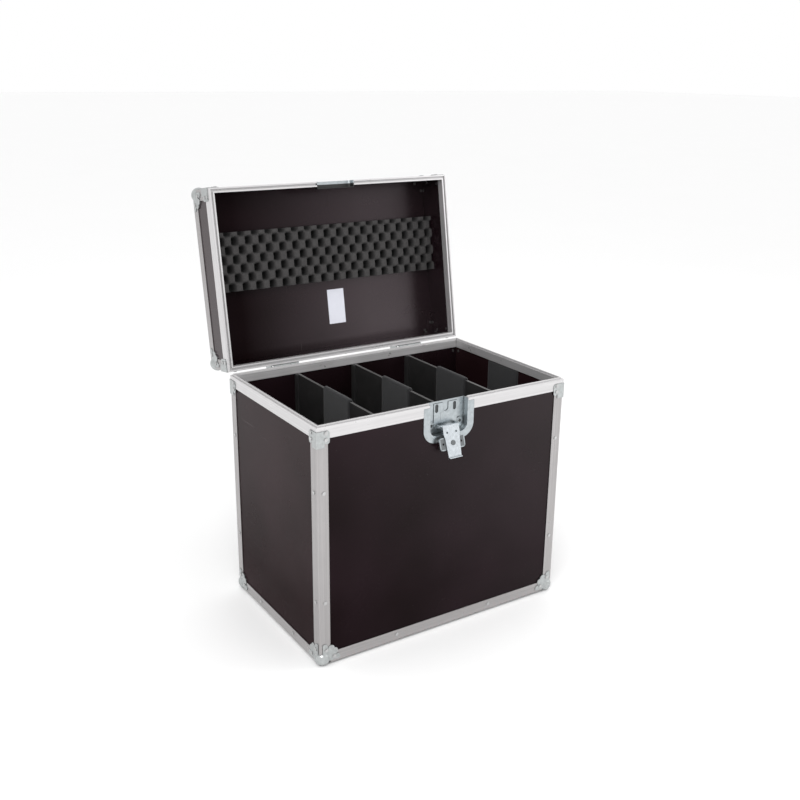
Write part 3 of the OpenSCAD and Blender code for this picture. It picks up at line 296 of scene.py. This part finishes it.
class Shader:
    """A procedural material whose nodes are added one after another.

    The roughness and metallic it starts with count where no node is linked to them.
    """

    def __init__(self, name, roughness, metallic=0.0):
        self.material = bpy.data.materials.new(name)
        self.material.use_nodes = True
        self.tree = self.material.node_tree
        self.bsdf = self.tree.nodes["Principled BSDF"]
        self.bsdf.inputs["Roughness"].default_value = roughness
        self.bsdf.inputs["Metallic"].default_value = metallic

    def add(self, kind, **settings):
        node = self.tree.nodes.new(kind)
        for key, value in settings.items():
            setattr(node, key, value)
        return node

    def link(self, out, into):
        self.tree.links.new(out, into)

    def place(self, scale=(1, 1, 1), turn=0.0):
        """Object coordinates, turned about X and scaled."""
        coordinates = self.add("ShaderNodeTexCoord").outputs["Object"]
        rotate = self.add("ShaderNodeVectorRotate", rotation_type="X_AXIS")
        rotate.inputs["Angle"].default_value = turn
        self.link(coordinates, rotate.inputs["Vector"])
        mapping = self.add("ShaderNodeMapping")
        mapping.inputs["Scale"].default_value = scale
        self.link(rotate.outputs["Vector"], mapping.inputs["Vector"])
        return mapping.outputs["Vector"]

    def noise(self, place, scale, detail=NOISE_DETAIL, roughness=NOISE_ROUGH):
        node = self.add("ShaderNodeTexNoise")
        node.inputs["Scale"].default_value = scale
        node.inputs["Detail"].default_value = detail
        node.inputs["Roughness"].default_value = roughness
        self.link(place, node.inputs["Vector"])
        return node.outputs["Fac"]

    def ramp(self, value, low, high):
        """Maps a value from low..high to 0..1."""
        node = self.add("ShaderNodeMapRange")
        node.inputs["From Min"].default_value = low
        node.inputs["From Max"].default_value = high
        self.link(value, node.inputs["Value"])
        return node.outputs["Result"]

    def spread(self, noise):
        """A noise stretched so that it fills 0..1."""
        return self.ramp(noise, *NOISE_RANGE)

    def between(self, value, low, high):
        """Maps a value of 0..1 to low..high."""
        node = self.add("ShaderNodeMapRange")
        node.inputs["To Min"].default_value = low
        node.inputs["To Max"].default_value = high
        self.link(value, node.inputs["Value"])
        return node.outputs["Result"]

    def maths(self, operation, *values):
        """A Math node over sockets and numbers."""
        node = self.add("ShaderNodeMath", operation=operation)
        for socket, value in zip(node.inputs, values):
            if isinstance(value, (int, float)):
                socket.default_value = value
            else:
                self.link(value, socket)
        return node.outputs["Value"]

    def every(self, *tests):
        """1 where all the tests are 1, else 0."""
        result = tests[0]
        for test in tests[1:]:
            result = self.maths("MULTIPLY", result, test)
        return result

    def mix(self, value, first, second):
        """Mixes two colours, each a tuple or a socket."""
        node = self.add("ShaderNodeMix", data_type="RGBA")
        self.link(value, node.inputs[MIX_FACTOR])
        for number, colour in ((MIX_FIRST, first), (MIX_SECOND, second)):
            if isinstance(colour, tuple):
                node.inputs[number].default_value = (*colour, 1)
            else:
                self.link(colour, node.inputs[number])
        return node.outputs[MIX_RESULT]

    def axes(self, turn=0.0):
        """X, Y and Z of the object coordinates, turned about X."""
        split = self.add("ShaderNodeSeparateXYZ")
        self.link(self.place(turn=turn), split.inputs["Vector"])
        return split.outputs["X"], split.outputs["Y"], split.outputs["Z"]

    def painted_shade_at(self, where, colour):
        """The material with a dull colour of painted shade where the value is 1."""
        self.colour(self.mix(where, self.bsdf.inputs["Base Color"].links[0].from_socket, colour))
        self.link(self.maths("SUBTRACT", 1.0, where), self.bsdf.inputs["Metallic"])
        return self.material

    def crevice_shade(self, reach):
        """0 on open faces, rising to 1 in corners and slots narrower than reach: a mask for painted
        shade.
        """
        node = self.add("ShaderNodeAmbientOcclusion", samples=OCCLUSION_SAMPLES)
        node.inputs["Distance"].default_value = reach
        return self.ramp(node.outputs["AO"], *CREVICE_SHADE_RANGE)

    def colour(self, socket):
        self.link(socket, self.bsdf.inputs["Base Color"])

    def roughness(self, socket):
        self.link(socket, self.bsdf.inputs["Roughness"])

    def bump(self, height, depth, edge=0.0):
        """Bumps of a depth, over edges rounded to a radius."""
        node = self.add("ShaderNodeBump")
        node.inputs["Distance"].default_value = depth
        self.link(height, node.inputs["Height"])
        if edge:
            rounded = self.add("ShaderNodeBevel", samples=BEVEL_SAMPLES)
            rounded.inputs["Radius"].default_value = edge
            self.link(rounded.outputs["Normal"], node.inputs["Normal"])
        self.link(node.outputs["Normal"], self.bsdf.inputs["Normal"])


def darker(colour, share):
    return tuple(share * c for c in colour)


# Edge radius of boards and plastic, and of metal
BOARD_EDGE = 0.0004
METAL_EDGE = 0.0005

# Film of the panels; SCRATCH_SCALE stretches noise to hairlines, which show where it is in
# SCRATCH_RANGE
SHEEN_TINT = (1.0, 0.86, 0.91)
FILM_BASE_ROUGH = 0.3
FILM_CLOUDS = 4.0
FILM_GLOSS = 14.0
FILM_ROUGH = (0.16, 0.34)
FILM_PEBBLE = 900.0
FILM_PEBBLE_DEPTH = 0.00003
SCRATCH_SCALE = (240, 9, 260)
SCRATCH_RANGE = (0.71, 0.77)
SCRATCH_SHARE = 0.22
SCRATCH = (0.11, 0.10, 0.10)


def laminate(name, dark, light, sheen, turn=0.0):
    """Phenolic film: fine pebble, broad soft sheen, a few pale hairline scratches.

    With x and z from 0 to 1 over the sheen's ranges, the specular level is
    low + up z + x (across + both z).
    """
    m = Shader(name, FILM_BASE_ROUGH)
    m.bsdf.inputs["Specular Tint"].default_value = (*SHEEN_TINT, 1)
    place = m.place(turn=turn)
    x, _, z = m.axes()
    x = m.ramp(x, *sheen["x"])
    z = m.ramp(z, *sheen["z"])
    rising = m.maths("MULTIPLY_ADD", z, sheen["both"], sheen["across"])
    upward = m.maths("MULTIPLY_ADD", z, sheen["up"], sheen["low"])
    level = m.maths("MULTIPLY_ADD", x, rising, upward)
    m.link(level, m.bsdf.inputs["Specular IOR Level"])
    film = m.mix(m.spread(m.noise(place, FILM_CLOUDS, detail=2.0)), dark, light)
    streak = m.noise(m.place(SCRATCH_SCALE, turn), 1.0, detail=2.0)
    scratch = m.between(m.ramp(streak, *SCRATCH_RANGE), 0.0, SCRATCH_SHARE)
    m.colour(m.mix(scratch, film, SCRATCH))
    m.roughness(m.between(m.noise(place, FILM_GLOSS), *FILM_ROUGH))
    m.bump(m.noise(place, FILM_PEBBLE, detail=2.0), FILM_PEBBLE_DEPTH, BOARD_EDGE)
    return m.material


# Extrusions: scales along and across the streaks, the streaks' darker tone, painted shade in the
# crevices as a share of the base colour, and how wide the painted shade reaches
STREAK_ALONG = 3.0
STREAK_ACROSS = 420.0
STREAK_TONE = 0.84
STREAK_DEPTH = 0.00006
EXTRUSION_SHADE = 0.35
EXTRUSION_SHADE_REACH = 0.004
EXTRUSION_BASE_ROUGH = 0.34
EXTRUSION_PATCH = 26.0
EXTRUSION_ROUGH = (0.26, 0.42)


def brushed(name, base, along, turn=0.0, metallic=1.0):
    """Extruded aluminium: streaks along one axis, in colour and relief, and dull patches."""
    m = Shader(name, EXTRUSION_BASE_ROUGH, metallic)
    stretch = tuple(STREAK_ALONG if axis == along else STREAK_ACROSS for axis in "xyz")
    streak = m.noise(m.place(stretch, turn), 1.0, detail=3.0)
    patch = m.noise(m.place(turn=turn), EXTRUSION_PATCH)
    metal = m.mix(m.spread(streak), darker(base, STREAK_TONE), base)
    # Painted shade: the metal darkens in corners and crevices
    grime = m.crevice_shade(EXTRUSION_SHADE_REACH)
    m.colour(m.mix(grime, metal, darker(base, EXTRUSION_SHADE)))
    m.roughness(m.between(m.spread(patch), *EXTRUSION_ROUGH))
    m.bump(streak, STREAK_DEPTH, METAL_EDGE)
    return m.material


# Zinc plate
PLATE_BASE_ROUGH = 0.32
PLATE_ROUGH = (0.24, 0.42)
PLATE_MOTTLE = 160.0
PLATE_TONE = 0.80
# Painted shade in the crevices: the share of the base colour it leaves, and how far it reaches
PLATE_SHADE = 0.25
PLATE_SHADE_REACH = 0.006
PLATE_HANDLING = 45.0
PLATE_GRAIN = 300.0
PLATE_DEPTH = 0.00005


def zinc_shader(name, base, rough=PLATE_ROUGH, turn=0.0, grime=PLATE_SHADE):
    """Bright zinc plate: faint mottling and handling marks, with painted shade in the crevices."""
    m = Shader(name, PLATE_BASE_ROUGH, 1.0)
    place = m.place(turn=turn)
    mottle = m.spread(m.noise(place, PLATE_MOTTLE, detail=3.0))
    plate = m.mix(mottle, darker(base, PLATE_TONE), base)
    m.colour(m.mix(m.crevice_shade(PLATE_SHADE_REACH), plate, darker(base, grime)))
    m.roughness(m.between(m.spread(m.noise(place, PLATE_HANDLING)), *rough))
    m.bump(m.noise(place, PLATE_GRAIN, detail=2.0), PLATE_DEPTH, METAL_EDGE)
    return m


def zinc(*values, **settings):
    return zinc_shader(*values, **settings).material


def look_box(node, turn=0.0):
    """Lowest and highest corner of a node in the turned coordinates of a material."""
    return turned_box(node, (0, 0, 0), turn)


# Painted shade on the rivet tails inside the case
RIVET_TAIL_SHADE = (0.045, 0.043, 0.043)


def rivet_look(name, base, panel, towards, turn=0.0):
    """Bright heads outside; the tails inside the panel's outline, within the case, are painted dull
    as shade.

    towards is 1 where the case lies above the panel and -1 where it lies below it.
    """
    m = zinc_shader(name, base, turn=turn)
    low, high = look_box(panel, turn)
    x, y, z = m.axes(turn)
    if towards > 0:
        past = m.maths("GREATER_THAN", z, high[2])
    else:
        past = m.maths("LESS_THAN", z, low[2])
    inside = m.every(m.maths("GREATER_THAN", x, low[0]), m.maths("LESS_THAN", x, high[0]),
                     m.maths("GREATER_THAN", y, low[1]), m.maths("LESS_THAN", y, high[1]), past)
    return m.painted_shade_at(inside, RIVET_TAIL_SHADE)


# How far behind its face the keeper's pan keeps its plain zinc; deeper in it gets painted shade
KEEPER_UNSHADED = 6 * MM
KEEPER_SHADE = (0.010, 0.010, 0.010)


def keeper_look(base):
    """Zinc plate whose pan is painted near black as shade, from a few millimetres behind its face
    inwards.
    """
    m = zinc_shader("latch_keeper", base, turn=LID_OPEN)
    y = m.axes(LID_OPEN)[1]
    face = look_box("latch_keeper", LID_OPEN)[0][1]
    return m.painted_shade_at(m.maths("GREATER_THAN", y, face + KEEPER_UNSHADED), KEEPER_SHADE)


# Painted shade in the crevices of the latch's carriage and key, as a share of their colour
LATCH_SHADE = 0.1
# Painted shade covers the carriage within this distance of its back, where its slots end
SLOT_DEPTH = 0.6 * MM
# Painted shade in the hollow ends of its two rivets: distance from the middle, depth below the
# hinge line, radius
RIVET_X = 32 * MM
RIVET_DROP = 45 * MM
RIVET_HOLLOW_R = 3.2 * MM
# Colour of the painted shade in the slots and rivet hollows
CARRIAGE_SHADE = (0.030, 0.034, 0.036)


def carriage_look(base):
    """Zinc plate with painted shade in its slots and in the hollows of its two rivets."""
    m = zinc_shader("latch_carriage", base, grime=LATCH_SHADE)
    x, y, z = m.axes()
    slot_shade = m.maths("GREATER_THAN", y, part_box("latch_carriage")[1][1] - SLOT_DEPTH)
    beside = m.maths("SUBTRACT", m.maths("ABSOLUTE", x), RIVET_X)
    above = m.maths("SUBTRACT", z, HINGE.z - RIVET_DROP)
    square = m.maths("ADD", m.maths("POWER", beside, 2.0), m.maths("POWER", above, 2.0))
    hollow_shade = m.maths("LESS_THAN", m.maths("SQRT", square), RIVET_HOLLOW_R)
    return m.painted_shade_at(m.maths("MAXIMUM", slot_shade, hollow_shade), CARRIAGE_SHADE)


# Rim round the key's wings that keeps the plain zinc, and the painted shade inside it
WING_RIM = 2.2 * MM
WING_SHADE = (0.120, 0.130, 0.135)


def key_look(base):
    """Zinc wings with painted shade inside their rims; coordinates turned to the closed hook."""
    m = zinc_shader("latch_key", base, grime=LATCH_SHADE)
    x, _, z = m.axes(-HOOK_SWING)
    low, high = look_box("latch_key", -HOOK_SWING)
    across = m.maths("LESS_THAN", m.maths("ABSOLUTE", x), high[0] - WING_RIM)
    offset = m.maths("ABSOLUTE", m.maths("SUBTRACT", z, (low[2] + high[2]) / 2))
    along = m.maths("LESS_THAN", offset, (high[2] - low[2]) / 2 - WING_RIM)
    return m.painted_shade_at(m.every(across, along), WING_SHADE)


# Plastic, rubber and paper
PLAIN_TONE = 20.0
PLAIN_WEAR = 60.0
PLAIN_WEAR_RANGE = 0.08
PLAIN_GRAIN = 500.0
PAPER_GRAIN = 900.0
GRAIN_DEPTH = 0.0001


def plain(name, dark, light, rough, grain=PLAIN_GRAIN):
    """Non-metal with fine grain and slight unevenness of tone."""
    m = Shader(name, rough)
    place = m.place()
    m.colour(m.mix(m.spread(m.noise(place, PLAIN_TONE)), dark, light))
    wear = m.noise(place, PLAIN_WEAR)
    m.roughness(m.between(wear, rough - PLAIN_WEAR_RANGE, rough + PLAIN_WEAR_RANGE))
    m.bump(m.noise(place, grain, detail=3.0), GRAIN_DEPTH, BOARD_EDGE)
    return m.material


# Felt and foam are dull all over
SOFT_BASE_ROUGH = 0.95
SOFT_ROUGH = (0.88, 1.0)
FELT_DARK = (0.007, 0.007, 0.008)
FELT_LIGHT = (0.022, 0.022, 0.024)
FELT_FIBRE = 1500.0
FELT_SHEEN = 0.15
FELT_DEPTH = 0.0006


def felt_look():
    """Pressed fibre: fine fuzz and a soft sheen."""
    m = Shader("pad_felt", SOFT_BASE_ROUGH)
    fibre = m.noise(m.place(), FELT_FIBRE, detail=6.0, roughness=0.8)
    m.colour(m.mix(m.spread(fibre), FELT_DARK, FELT_LIGHT))
    m.roughness(m.between(fibre, *SOFT_ROUGH))
    m.bsdf.inputs["Sheen Weight"].default_value = FELT_SHEEN
    m.bump(fibre, FELT_DEPTH)
    return m.material


# Foam, with painted shade from its peaks down into its hollows: the heights between which the
# painted shade fades out, its colours in the hollows and on the peaks, and its pale cell walls
FOAM_SHADE_RISE = (0.40, 0.97)
FOAM_SHADED_HOLLOW = (0.0012, 0.0012, 0.0012)
FOAM_ON_PEAKS = (0.029, 0.027, 0.028)
FLECK_SHADED_HOLLOW = (0.004, 0.004, 0.004)
FLECK_ON_PEAKS = (0.15, 0.145, 0.14)
FOAM_CELLS = 1100.0
FLECK_RANGE = (0.4, 0.7)
FLECK_SHARE = 0.45
FOAM_DEPTH = 0.0008


def foam_look():
    """Open cells, with painted shade in the hollows, fading out towards the peaks."""
    m = Shader("foam", SOFT_BASE_ROUGH)
    height = m.add("ShaderNodeAttribute", attribute_name="height").outputs["Fac"]
    unshaded = m.ramp(height, *FOAM_SHADE_RISE)
    cells = m.noise(m.place(), FOAM_CELLS, detail=5.0, roughness=0.7)
    foam = m.mix(unshaded, FOAM_SHADED_HOLLOW, FOAM_ON_PEAKS)
    flecks = m.mix(unshaded, FLECK_SHADED_HOLLOW, FLECK_ON_PEAKS)
    share = m.between(m.ramp(cells, *FLECK_RANGE), 0.0, FLECK_SHARE)
    m.colour(m.mix(share, foam, flecks))
    m.roughness(m.between(cells, *SOFT_ROUGH))
    m.bump(cells, FOAM_DEPTH)
    return m.material


# Divider board; the paler sawn edge fades in between these depths below the top
SAWN_FROM = 0.6 * MM
SAWN_FULL = 0.2 * MM
SAWN = (0.085, 0.083, 0.083)
BOARD_DARK = (0.010, 0.010, 0.010)
BOARD_LIGHT = (0.020, 0.019, 0.019)
BOARD_BASE_ROUGH = 0.6
BOARD_ROUGH = (0.42, 0.62)
BOARD_TONE = 24.0
BOARD_WEAR = 50.0
BOARD_GRAIN = 600.0


def divider_look():
    """Matt black film, its sawn top edge paler."""
    m = Shader("divider_board", BOARD_BASE_ROUGH)
    place = m.place()
    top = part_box("divider_left")[1][2]
    sawn = m.ramp(m.axes()[2], top - SAWN_FROM, top - SAWN_FULL)
    board = m.mix(m.spread(m.noise(place, BOARD_TONE)), BOARD_DARK, BOARD_LIGHT)
    m.colour(m.mix(sawn, board, SAWN))
    m.roughness(m.between(m.noise(place, BOARD_WEAR), *BOARD_ROUGH))
    m.bump(m.noise(place, BOARD_GRAIN, detail=2.0), GRAIN_DEPTH, BOARD_EDGE)
    return m.material


ALUMINIUM = (0.44, 0.425, 0.425)
# The rims are the same aluminium as the edging, painted paler as lit from above: painted light
LIT_RIM_ALUMINIUM = (0.65, 0.64, 0.645)
# Share of the rims that reflects as bare metal; the rest is dull oxide
RIM_METAL = 0.55
ZINC = (0.50, 0.52, 0.52)
PIN_ZINC = (0.50, 0.52, 0.54)
RIVET_ZINC = (0.60, 0.60, 0.60)
BLUE_ZINC = (0.47, 0.51, 0.53)
HOOK_ZINC = (0.74, 0.79, 0.83)
HOOK_ROUGH = (0.18, 0.32)
# Painted shade in the crevices of the latch's pan, as a share of its colour
PAN_SHADE = 0.15
FRONT_FILM = ((0.0052, 0.0024, 0.0026), (0.0125, 0.0064, 0.0084))
# The sides are the same film as the front, painted a little paler and redder as a painted sheen
LIT_SIDE_FILM = ((0.0120, 0.0052, 0.0058), (0.0230, 0.0110, 0.0130))
RAIL_PLASTIC = ((0.016, 0.016, 0.016), (0.026, 0.025, 0.025))
LABEL_PAPER = ((0.70, 0.71, 0.78), (0.76, 0.77, 0.84))
GRIP_RUBBER = ((0.012, 0.012, 0.012), (0.022, 0.022, 0.022))
RAIL_ROUGH = 0.5
LABEL_ROUGH = 0.7
GRIP_ROUGH = 0.55
# Specular level of the film, over ranges in metres: on the base's front brighter to the right and
# upwards, on its sides upwards, on the lid's inside to the right, most so low down
BASE_RANGES = {"x": (-0.26, 0.22), "z": (0.10, 0.45)}
LID_RANGES = {"x": (-0.20, 0.10), "z": (0.50, 0.75)}
BASE_SHEEN = {**BASE_RANGES, "low": 0.03, "up": 0.08, "across": 0.07, "both": 0.11}
SIDE_SHEEN = {**BASE_RANGES, "low": 0.015, "up": 0.06, "across": 0.0, "both": 0.0}
LID_SHEEN = {**LID_RANGES, "low": 0.03, "up": 0.0, "across": 0.80, "both": -0.38}
LID_SIDE_SHEEN = {**LID_RANGES, "low": 0.36, "up": 0.0, "across": 0.0, "both": 0.0}


def dress(material, *nodes):
    for name in nodes:
        mesh = frame["nodes"][name].data
        mesh.materials.clear()
        mesh.materials.append(material)


def dress_panels():
    dress(laminate("laminate", *FRONT_FILM, BASE_SHEEN),
          "front_panel", "back_panel", "floor_panel")
    # Painted light: the side panels get the film painted paler and redder than the front
    dress(laminate("laminate_side_lit", *LIT_SIDE_FILM, SIDE_SHEEN), "left_panel", "right_panel")
    dress(laminate("laminate_lid", *FRONT_FILM, LID_SHEEN, LID_OPEN),
          "lid_top_panel", "lid_front_panel", "lid_back_panel", "lid_right_panel")
    dress(laminate("laminate_lid_side_lit", *LIT_SIDE_FILM, LID_SIDE_SHEEN, LID_OPEN), "lid_left_panel")


def dress_profiles():
    dress(brushed("edging_upright", ALUMINIUM, "z"),
          "upright_front_left", "upright_front_right", "upright_back_left", "upright_back_right")
    dress(brushed("edging_across", ALUMINIUM, "x"), "floor_edge_front", "floor_edge_back")
    dress(brushed("edging_deep", ALUMINIUM, "y"), "floor_edge_left", "floor_edge_right")
    dress(brushed("lid_edging_upright", ALUMINIUM, "z", LID_OPEN), "lid_uprights")
    dress(brushed("lid_edging_top", ALUMINIUM, "x", LID_OPEN), "lid_top_edges")
    for prefix, turn in (("", 0.0), ("lid_", LID_OPEN)):
        # Painted light: the rims get the paler aluminium
        dress(brushed(prefix + "rim_across", LIT_RIM_ALUMINIUM, "x", turn, RIM_METAL),
              prefix + "rim_front", prefix + "rim_back")
        dress(brushed(prefix + "rim_deep", LIT_RIM_ALUMINIUM, "y", turn, RIM_METAL),
              prefix + "rim_left", prefix + "rim_right")


def dress_fittings():
    dress(zinc("fittings", ZINC),
          "floor_ball_corners", "base_braces", "base_leaf_left", "base_leaf_right")
    dress(zinc("lid_fittings", ZINC, turn=LID_OPEN),
          "lid_ball_corners", "lid_braces", "lid_leaf_left", "lid_leaf_right", "handle_brackets")
    dress(zinc("latch_pan", BLUE_ZINC, grime=PAN_SHADE), "latch_dish")
    dress(keeper_look(BLUE_ZINC), "latch_keeper")
    dress(carriage_look(BLUE_ZINC), "latch_carriage")
    dress(key_look(BLUE_ZINC), "latch_key")
    dress(zinc("hook", HOOK_ZINC, HOOK_ROUGH), "latch_hook")
    dress(rivet_look("base_rivets", RIVET_ZINC, "floor_panel", 1), "base_rivets")
    dress(rivet_look("lid_rivets", RIVET_ZINC, "lid_top_panel", -1, LID_OPEN), "lid_rivets")
    dress(zinc("pins", PIN_ZINC), "hinge_pins", "latch_pivot_pin", "handle_bail")


def dress_boards_and_plastic():
    dress(divider_look(), "divider_left", "divider_middle", "divider_right")
    dress(plain("rail_plastic", *RAIL_PLASTIC, RAIL_ROUGH), "divider_rails")
    dress(plain("label_paper", *LABEL_PAPER, LABEL_ROUGH, PAPER_GRAIN), "lid_label")
    dress(plain("grip_rubber", *GRIP_RUBBER, GRIP_ROUGH), "handle_grip")


# ---- soft pieces ----
foam_piece = make_foam()
foam_piece.data.materials.append(foam_look())

pads = [folded_pad("pad_" + side, "divider_" + side, side + "_divider", seed)
        for seed, side in enumerate(("left", "middle", "right"), STRIP_SEED)]
wall_felt = [wall_pad("wall_felt_left", -1, WALL_SEED),
             wall_pad("wall_felt_right", 1, WALL_SEED + 1)]
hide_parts("wall_pads")
pad_felt = felt_look()
for soft in pads + wall_felt:
    soft.data.materials.append(pad_felt)

dress_panels()
dress_profiles()
dress_fittings()
dress_boards_and_plastic()


# ---- studio ----
FLOOR_HALF = 40.0
FLOOR_ROUGH = 0.8
FLOOR_CLOUDS = 1.5
FLOOR_DARK = (0.955, 0.955, 0.955)
FLOOR_LIGHT = (0.975, 0.975, 0.975)


def make_floor():
    h = FLOOR_HALF
    floor = new_object("floor", [(-h, -h, 0), (h, -h, 0), (h, h, 0), (-h, h, 0)],
                       [(0, 1, 2, 3)], smooth=False)
    m = Shader("floor", FLOOR_ROUGH)
    m.colour(m.mix(m.noise(m.place(), FLOOR_CLOUDS), FLOOR_DARK, FLOOR_LIGHT))
    floor.data.materials.append(m.material)


# Square lights: place, size in metres and power in watts. Both face the middle of the case
WORLD_STRENGTH = 1.0
LIGHT_AIM_Z = 0.4
LIGHTS = {
    "key": ((-1.6, -1.9, 2.3), 1.6, 38),
    "fill": ((2.2, -1.2, 1.4), 1.2, 14),
}


def make_light():
    world = bpy.data.worlds.new("studio")
    bpy.context.scene.world = world
    world.use_nodes = True
    background = world.node_tree.nodes["Background"]
    background.inputs["Color"].default_value = (1, 1, 1, 1)
    background.inputs["Strength"].default_value = WORLD_STRENGTH
    aim = Vector((0, MID_Y, LIGHT_AIM_Z))
    for name, (place, size, power) in LIGHTS.items():
        light = bpy.data.lights.new(name, "AREA")
        light.size = size
        light.energy = power
        lamp = bpy.data.objects.new(name, light)
        lamp.location = place
        lamp.rotation_euler = (aim - Vector(place)).to_track_quat("-Z", "Y").to_euler()
        bpy.context.scene.collection.objects.link(lamp)


# The camera, measured from the base's middle and the underside of its edging. It looks yaw to
# the right of +Y and down, rolled about its own line of sight
CAMERA_PLACE = (-1.0089, -1.5642, 1.0365)
CAMERA_YAW = math.radians(33.02)
CAMERA_DOWN = math.radians(18.49)
CAMERA_ROLL = math.radians(0.68)
CAMERA_LENS = 44.63
CAMERA_SENSOR = 36


def make_camera():
    yaw, down, roll = CAMERA_YAW, CAMERA_DOWN, CAMERA_ROLL
    ahead = Vector((math.sin(yaw) * math.cos(down), math.cos(yaw) * math.cos(down),
                    -math.sin(down)))
    right = Vector((math.cos(yaw), -math.sin(yaw), 0))
    up = right.cross(ahead)
    across = right * math.cos(roll) + up * math.sin(roll)
    above = up * math.cos(roll) - right * math.sin(roll)
    data = bpy.data.cameras.new("camera")
    data.lens = CAMERA_LENS
    data.sensor_width = CAMERA_SENSOR
    camera = bpy.data.objects.new("camera", data)
    turn = Matrix((across, above, -ahead)).transposed().to_4x4()
    place = Vector(CAMERA_PLACE) + Vector((0, MID_Y, EDGE_LOW))
    camera.matrix_world = Matrix.Translation(place) @ turn
    bpy.context.scene.collection.objects.link(camera)
    bpy.context.scene.camera = camera


make_floor()
make_light()
make_camera()
bpy.context.scene.view_settings.view_transform = "Standard"
